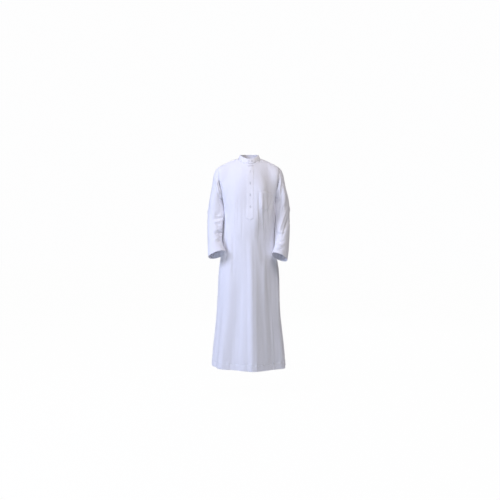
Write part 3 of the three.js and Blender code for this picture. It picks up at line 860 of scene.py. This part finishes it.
def makeSleeve(name, node, cut, seed):
    # columns run from the underarm over the front
    overBack = lambda points: points[0, points.shape[1] // 4, 1] > 0
    lines = [-line for line in linesOf(cuffHem)] + seamLines
    panel = smoothPanel(node, cut["cell"], ring=True, rowExtras=lines, turn=overBack)
    points, normals = panel["points"], panel["normals"]
    heights = pressFolds(panel, cut, ["first"], seed)
    heights += foldHeights(points, normals, cut["swell"])
    heights += foldHem(panel, "last", cuffHem, seed + 9)
    # where it faces the body it moves with the body's edge, so that the seam stays shut
    awayFromBody = normals[..., 0] * np.sign(points[..., 0].mean())
    turned = 2 * ease(awayFromBody, -0.8, -0.2) - 1
    heights += turned * sinkSeams(panel, ["first"], sideSeam, seed + 13)
    shapePanel(panel, heights)
    return panel, panelMesh(name, panel, robeCloth, cut["wall"])


rightPanel, rightSleeve = makeSleeve("rightSleeve", "sleeve_right", rightCut, 31.2)
leftPanel, leftSleeve = makeSleeve("leftSleeve", "sleeve_left", leftCut, 47.9)

# collar
allEdges = ["first", "last", "left", "right"]
sewnEdges = ["first", "left", "right"]
collarCut = {
    "cell": 2.6 * mm,
    "wall": 1.3 * mm,
    "inset": 4 * mm,
    "groove": 0.3 * mm,
    "tuck": 1.3 * mm,  # how far the foot reaches down into the neck seam
    "full": (0.5 * mm, 0, 12 * mm),  # height, and where it starts and is reached
    "edge": (0.35 * mm, 0.9 * mm),  # drop and reach
    "uneven": (0.35 * mm, (26, 26, 14)),
}


def bandHeights(panel, cut, stitched):
    # a pressed band: full between its edges, rounded at them and grooved by its stitches
    distance = edgeDistance(panel, allEdges)
    (full, *ends), (drop, reach) = cut["full"], cut["edge"]
    heights = full * ease(distance, *ends) - drop * np.exp(-distance / reach)
    away = edgeDistance(panel, stitched) - cut["inset"]
    return heights - cut["groove"] * np.exp(-((away / trimGrooveWide) ** 2))


def makeCollar():
    fromLap = lambda points: points[:, 0].mean(axis=0)[0] < points[:, -1].mean(axis=0)[0]
    panel = smoothPanel("collar", collarCut["cell"], turn=fromLap)
    height, sizes = collarCut["uneven"]
    uneven = height * ripple(panel["points"], sizes, 61.0)
    shapePanel(panel, bandHeights(panel, collarCut, allEdges) + uneven)
    points = panel["points"]
    points[0] += collarCut["tuck"] * unit(points[0] - points[1])
    return panel, panelMesh("standCollar", panel, trimCloth, collarCut["wall"])


collarPanel, standCollar = makeCollar()

# placket and pocket, laid on the front
trimCut = {
    "cell": 2.2 * mm,
    "edgeLines": [0.6 * mm, 2.5 * mm],
    "wall": 0.9 * mm,
    "air": 0.25 * mm,
    "inset": 2.5 * mm,
    "groove": 0.3 * mm,
    "full": (0.45 * mm, 1.5 * mm, 12 * mm),
    "edge": (0.35 * mm, 0.7 * mm),
    "uneven": (0.25 * mm, (18, 18, 30)),
    "calm": 6 * mm,
}
pocketMouth = {"gape": 4.5 * mm, "deep": 42 * mm, "round": 1.3}
layFrom, layReach = 0.04, 0.09  # metres off the front that a point starts, and that it may drop


def skinTree(panel):
    points = panel["points"]
    quads = gridQuads(*points.shape[:2])[2]
    return BVHTree.FromPolygons(points.reshape(-1, 3).tolist(), quads.reshape(-1, 4).tolist())


frontTree = skinTree(frontPanel)


def layOnFront(panel, lift):
    # each point drops on to the shaped front along the panel's own normal, then lifts off it
    points, normals = panel["points"], panel["normals"]
    landed = np.empty_like(points)
    for spot in np.ndindex(points.shape[:2]):
        normal = Vector(normals[spot])
        start = Vector(points[spot]) + normal * layFrom
        hit = frontTree.ray_cast(start, -normal, layReach)[0]
        landed[spot] = hit if hit is not None else start - normal * layFrom
    panel["points"] = landed
    setNormals(panel)
    shapePanel(panel, lift)


def gapeOf(panel):
    # the pocket is sewn down at its sides and foot, and stands a little open at its mouth
    share = panel["columns"][None, :] / panel["width"]
    shut = ease(edgeDistance(panel, ["last"]), 0, pocketMouth["deep"])
    return pocketMouth["gape"] * np.sin(np.pi * share) ** pocketMouth["round"] * (1 - shut)


def makeTrim(name, node, opening=None):
    panel = smoothPanel(
        node, trimCut["cell"], inside=robeMiddle, edgeExtras=trimCut["edgeLines"], turn=fromLeft
    )
    lift = trimCut["wall"] + trimCut["air"] + bandHeights(panel, trimCut, sewnEdges)
    height, sizes = trimCut["uneven"]
    calm = ease(edgeDistance(panel, allEdges), 0, trimCut["calm"])
    lift += height * ripple(panel["points"], sizes, 71.0) * calm
    layOnFront(panel, lift + opening(panel) if opening else lift)
    return panel, panelMesh(name, panel, trimCloth, trimCut["wall"])


placketPanel, placketTrim = makeTrim("placketTrim", "placket")
pocketPanel, breastPocket = makeTrim("breastPocket", "pocket", gapeOf)
print("placket and pocket laid on")

# stitching
stitch = {"long": 2.3 * mm, "pitch": 3.1 * mm, "wide": 0.55 * mm, "high": 0.4 * mm}
barRound = 0.24  # of a bar's sizes, rounded off its edges
barProud = 0.2  # of its height, by which the middle of a bar stands off the cloth


def stitchShape():
    # one stitch: a short bar with its edges and ends rounded
    bpy.ops.mesh.primitive_cube_add(size=1, location=(0, 0, 0))
    bar = bpy.context.object
    bpy.ops.object.mode_set(mode="EDIT")
    bpy.ops.mesh.select_all(action="SELECT")
    bpy.ops.mesh.bevel(offset=barRound, segments=1, affect="EDGES")
    bpy.ops.object.mode_set(mode="OBJECT")
    points = np.array([vert.co[:] for vert in bar.data.vertices])
    faces = [list(face.vertices) for face in bar.data.polygons]
    bpy.data.objects.remove(bar, do_unlink=True)
    return points, faces


barPoints, barFaces = stitchShape()


def sewBars(name, spots, ways, normals, sizes, material):
    # a bar at each spot, along its way, lying on the cloth
    ways = unit(ways - (ways * normals).sum(axis=1, keepdims=True) * normals)
    sides = np.cross(normals, ways)
    long, wide, high = sizes
    points = (
        spots[:, None]
        + ways[:, None] * barPoints[None, :, 0:1] * long
        + sides[:, None] * barPoints[None, :, 1:2] * wide
        + normals[:, None] * (barPoints[None, :, 2:3] + barProud) * high
    )
    count = len(barPoints)
    faces = [[vert + k * count for vert in face] for k in range(len(spots)) for face in barFaces]
    return newPiece(name, points, faces, material)


def spotsOn(panel, down, across):
    # points and normals of the panel at distances along its rows and columns
    rows, columns = panel["rows"], panel["columns"]
    points, normals = panel["points"], panel["normals"]
    if panel["ring"]:
        columns = np.append(columns, panel["width"])
        points = np.concatenate([points, points[:, :1]], axis=1)
        normals = np.concatenate([normals, normals[:, :1]], axis=1)
    (i, a), (j, b) = cellOf(rows, down), cellOf(columns, across)
    a, b = a[:, None], b[:, None]
    along = lambda grid, row: grid[row, j] * (1 - b) + grid[row, j + 1] * b
    blend = lambda grid: along(grid, i) * (1 - a) + along(grid, i + 1) * a
    return blend(points), unit(blend(normals))


def seamRoute(panel, route):
    # stitches along a route of (down, across) corners, a pitch apart on the cloth
    corners = np.array(route)
    knots = knotsAlong(corners[:, None])
    fine = np.linspace(0, knots[-1], max(8, int(knots[-1] / mm)))
    down, across = np.interp(fine, knots, corners[:, 0]), np.interp(fine, knots, corners[:, 1])
    points, normals = spotsOn(panel, down, across)
    travelled = knotsAlong(points[:, None])
    at = np.arange(0.5 * stitch["pitch"], travelled[-1], stitch["pitch"])
    pick = lambda values: np.stack([np.interp(at, travelled, line) for line in values.T], axis=1)
    ways = np.gradient(points, axis=0)
    return pick(points), pick(ways), unit(pick(normals))


def sewRoutes(name, routes, thread):
    parts = [seamRoute(panel, route) for panel, route in routes]
    spots, ways, normals = (np.concatenate(part) for part in zip(*parts))
    sizes = (stitch["long"], stitch["wide"], stitch["high"])
    return sewBars(name, spots, ways, normals, sizes, thread)


def acrossRoute(panel, down, inset=0):
    # a negative distance counts back from the last row
    down += panel["length"] if down < 0 else 0
    return panel, [(down, inset), (down, panel["width"] - inset)]


def boxRoute(panel, rows, sides, closed=False):
    (low, high), (one, two) = rows, sides
    corners = [(low, one), (low, two), (high, two), (high, one)]
    return panel, corners + corners[:1] if closed else corners


def footRoute(panel):
    # down one side, across the foot and up the other side
    inset, top, far = trimCut["inset"], panel["length"], panel["width"] - trimCut["inset"]
    return panel, [(top, inset), (inset, inset), (inset, far), (top, far)]


tab = {"from": 14 * mm, "to": 66 * mm, "inset": 7 * mm}  # on the lap, measured from its end
tack = {"down": 6 * mm, "inset": 2 * mm, "apart": 1.3 * mm, "rows": 5}  # satin bar on the placket
footBox = {"down": 278 * mm, "deep": 6 * mm}  # two rows that box off the placket's foot
mouthDown = 22 * mm

collarWide, collarLong = collarPanel["width"], collarPanel["length"]
inset, tabIn, trimIn = collarCut["inset"], tab["inset"], trimCut["inset"]
tackRows = [-tack["down"] - row * tack["apart"] for row in range(tack["rows"])]
hemDown, cuffDown = hem["deep"] * mm, -cuffHem["deep"] * mm
sewn = {
    name: sewRoutes(name, routes, thread)
    for name, thread, routes in (
        ("collarStitches", seamThread, [
            boxRoute(collarPanel, (inset, collarLong - inset), (inset, collarWide - inset)),
        ]),
        ("tabStitches", paintedShadeThread, [
            boxRoute(collarPanel, (tabIn, collarLong - tabIn),
                     (collarWide - tab["from"], collarWide - tab["to"]), closed=True),
        ]),
        ("barTack", paintedShadeThread, [
            acrossRoute(placketPanel, down, trimIn + tack["inset"]) for down in tackRows
        ]),
        ("placketStitches", seamThread, [
            footRoute(placketPanel),
            acrossRoute(placketPanel, -footBox["down"], trimIn),
            acrossRoute(placketPanel, -footBox["down"] - footBox["deep"], trimIn),
        ]),
        ("pocketStitches", seamThread, [
            footRoute(pocketPanel),
            acrossRoute(pocketPanel, -mouthDown, trimIn),
        ]),
        ("frontStitches", seamThread, [acrossRoute(frontPanel, hemDown)]),
        ("backStitches", seamThread, [acrossRoute(backPanel, hemDown)]),
        ("rightCuffStitches", seamThread, [acrossRoute(rightPanel, cuffDown)]),
        ("leftCuffStitches", seamThread, [acrossRoute(leftPanel, cuffDown)]),
    )
}
print("stitching sewn")

# buttons and buttonholes
button = {
    "radius": 5.6 * mm,
    "thick": 2.3 * mm,
    "edges": 36,
    "rim": 1.3 * mm,
    "dish": 0.7 * mm,
    "slope": 0.5 * mm,
    "round": 0.35 * mm,
    "hole": 0.62 * mm,
    "holeEdges": 14,
    "holeAway": 1.25 * mm,
    "shank": 0.5 * mm,
}
satin = {"pitch": 0.55 * mm, "wide": 0.5 * mm, "high": 0.6 * mm}
satinEnds = {"gap": 0.3 * mm, "apart": 0.6 * mm}
slits = {"collar": (24 * mm, 2.8 * mm), "placket": (15 * mm, 1.7 * mm)}  # long and wide
landFrom, landReach = 0.05, 0.12  # metres in front of the cloth, and how far in it may lie


def makeButtonShape():
    # a disc with a rounded rim, a sunk middle and four holes
    bpy.ops.mesh.primitive_cylinder_add(
        vertices=button["edges"], radius=button["radius"], depth=button["thick"],
        location=(0, 0, button["thick"] / 2),
    )
    disc = bpy.context.object
    bpy.ops.object.transform_apply(location=True, rotation=False, scale=False)
    disc.data.edges.foreach_set("select", [False] * len(disc.data.edges))
    for face in disc.data.polygons:
        face.select = face.normal.z > 0.9
    bpy.ops.object.mode_set(mode="EDIT")
    bpy.ops.mesh.select_mode(type="FACE")
    bpy.ops.mesh.inset(thickness=button["rim"])
    bpy.ops.mesh.inset(thickness=button["slope"], depth=-button["dish"])
    bpy.ops.object.mode_set(mode="OBJECT")
    soft = disc.modifiers.new("soft", "BEVEL")
    limit = math.radians(40)
    setAll(soft, width=button["round"], segments=3, limit_method="ANGLE", angle_limit=limit)
    drills = []
    for turn in range(4):
        angle = math.pi / 4 + turn * math.pi / 2
        away = button["holeAway"]
        bpy.ops.mesh.primitive_cylinder_add(
            vertices=button["holeEdges"], radius=button["hole"], depth=3 * button["thick"],
            location=(away * math.cos(angle), away * math.sin(angle), 0),
        )
        drills.append(bpy.context.object)
        cut = disc.modifiers.new("drill", "BOOLEAN")
        setAll(cut, operation="DIFFERENCE", object=drills[-1])
    applyAll(disc)
    for drill in drills:
        bpy.data.objects.remove(drill, do_unlink=True)
    disc.data.materials.append(buttonShell)
    bpy.ops.object.select_all(action="DESELECT")
    return disc


def makeThreadShape():
    # two crossed loops of thread over the four holes, and the shank under the button
    top = button["thick"] - button["dish"]
    heights = (top + 0.15 * mm, top + 0.4 * mm, -0.5 * button["shank"])
    spots = np.array([(0, 0, height) for height in heights])
    ways = np.array([(1.0, 1.0, 0), (1.0, -1.0, 0), (1.0, 0, 0)])
    up = np.tile((0.0, 0, 1.0), (3, 1))
    long = 2 * button["holeAway"] + button["hole"]
    return sewBars("buttonThread", spots, ways, up, (long, 0.6 * mm, 0.5 * mm), paintedShadeThread)


def placeOver(shape, name, spot, up):
    side = Vector((1, 0, 0)) - up * up.x
    side.normalize()
    turned = Matrix((side, up.cross(side), up)).transposed().to_4x4()
    piece = addToScene(name, shape.data.copy())
    piece.data.transform(Matrix.Translation(spot + up * button["shank"]) @ turned)
    return piece


def sewButtonhole(name, spot, up, way, slit):
    # satin stitches round a slit, standing square to it
    way = (way - up * way.dot(up)).normalized()
    side = up.cross(way)
    half, edge = slit[0] / 2, slit[1] / 2
    rows = np.arange(-half, half + 0.1 * mm, satin["pitch"]).tolist()
    end, apart = half + satinEnds["gap"], satinEnds["apart"]
    bars = [(down, across, side) for down in rows for across in (-edge, edge)]
    bars += [(down, across, way) for down in (-end, end) for across in (-apart, 0, apart)]
    spots = np.array([spot + way * down + side * across for down, across, _ in bars])
    ways = np.array([turn for _, _, turn in bars])
    normals = np.tile(np.array(up), (len(spots), 1))
    sizes = (slit[1], satin["wide"], satin["high"])
    return sewBars(name, spots, ways, normals, sizes, paintedShadeThread)


def landOn(tree, node):
    # where a button's node meets the cloth below it
    low, high = (Vector(corner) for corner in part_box(node))
    outward = Vector((0, -1, 0))
    spot, normal = tree.ray_cast((low + high) / 2 + outward * landFrom, -outward, landReach)[:2]
    return spot, normal if normal.y < 0 else -normal


buttonDisc, buttonThread = makeButtonShape(), makeThreadShape()
buttonNodes = sorted(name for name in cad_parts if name.startswith("button_"))
grounds = {
    # the cloth under a button, and the way that its buttonhole runs
    "collar": (skinTree(collarPanel), Vector((1, 0, 0))),
    "placket": (skinTree(placketPanel), Vector((0, 0, 1))),
}
buttonPieces = []
for number, node in enumerate(buttonNodes, 1):
    ground = "collar" if node == "button_collar" else "placket"
    tree, way = grounds[ground]
    spot, up = landOn(tree, node)
    disc = placeOver(buttonDisc, f"shellButton{number}", spot, up)
    thread = placeOver(buttonThread, f"buttonThread{number}", spot, up)
    hole = sewButtonhole(f"buttonhole{number}", spot, up, way, slits[ground])
    buttonPieces.append((node, disc, thread, hole))
for shape in (buttonDisc, buttonThread):
    bpy.data.objects.remove(shape, do_unlink=True)
print("buttons sewn on:", ", ".join(buttonNodes))

# each piece hides its node and hangs with its stitching from the root
body = ["robeFront", "robeBack"]
cloths = [
    # piece, node, panel, slot, how it is held, what it rests on, its stitching
    (robeFront, "front", frontPanel, "robe_cloth", "hung", body[1:], ["frontStitches"]),
    (robeBack, "back", backPanel, "robe_cloth", "hung", body[:1], ["backStitches"]),
    (rightSleeve, "sleeve_right", rightPanel, "robe_cloth", "hung", body, ["rightCuffStitches"]),
    (leftSleeve, "sleeve_left", leftPanel, "robe_cloth", "hung", body, ["leftCuffStitches"]),
    (standCollar, "collar", collarPanel, "trim_cloth", "hung", body,
     ["collarStitches", "tabStitches"]),
    (placketTrim, "placket", placketPanel, "trim_cloth", "laid", body[:1],
     ["placketStitches", "barTack"]),
    (breastPocket, "pocket", pocketPanel, "trim_cloth", "laid", body[:1], ["pocketStitches"]),
]
for piece, node, panel, slot, held, restsOn, rows in cloths:
    stitches = [sewn[row] for row in rows]
    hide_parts(node)
    for part in (piece, *stitches):
        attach(part, "root")
for node, disc, thread, hole in buttonPieces:
    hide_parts(node)
    for part, slot in ((disc, "button_shell"), (thread, "trim_cloth"), (hole, "trim_cloth")):
        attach(part, "root")

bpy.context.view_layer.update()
shown = [piece for piece in bpy.data.objects if piece.type == "MESH" and piece.visible_get()]
print("triangles:", sum(len(face.vertices) - 2 for piece in shown for face in piece.data.polygons))
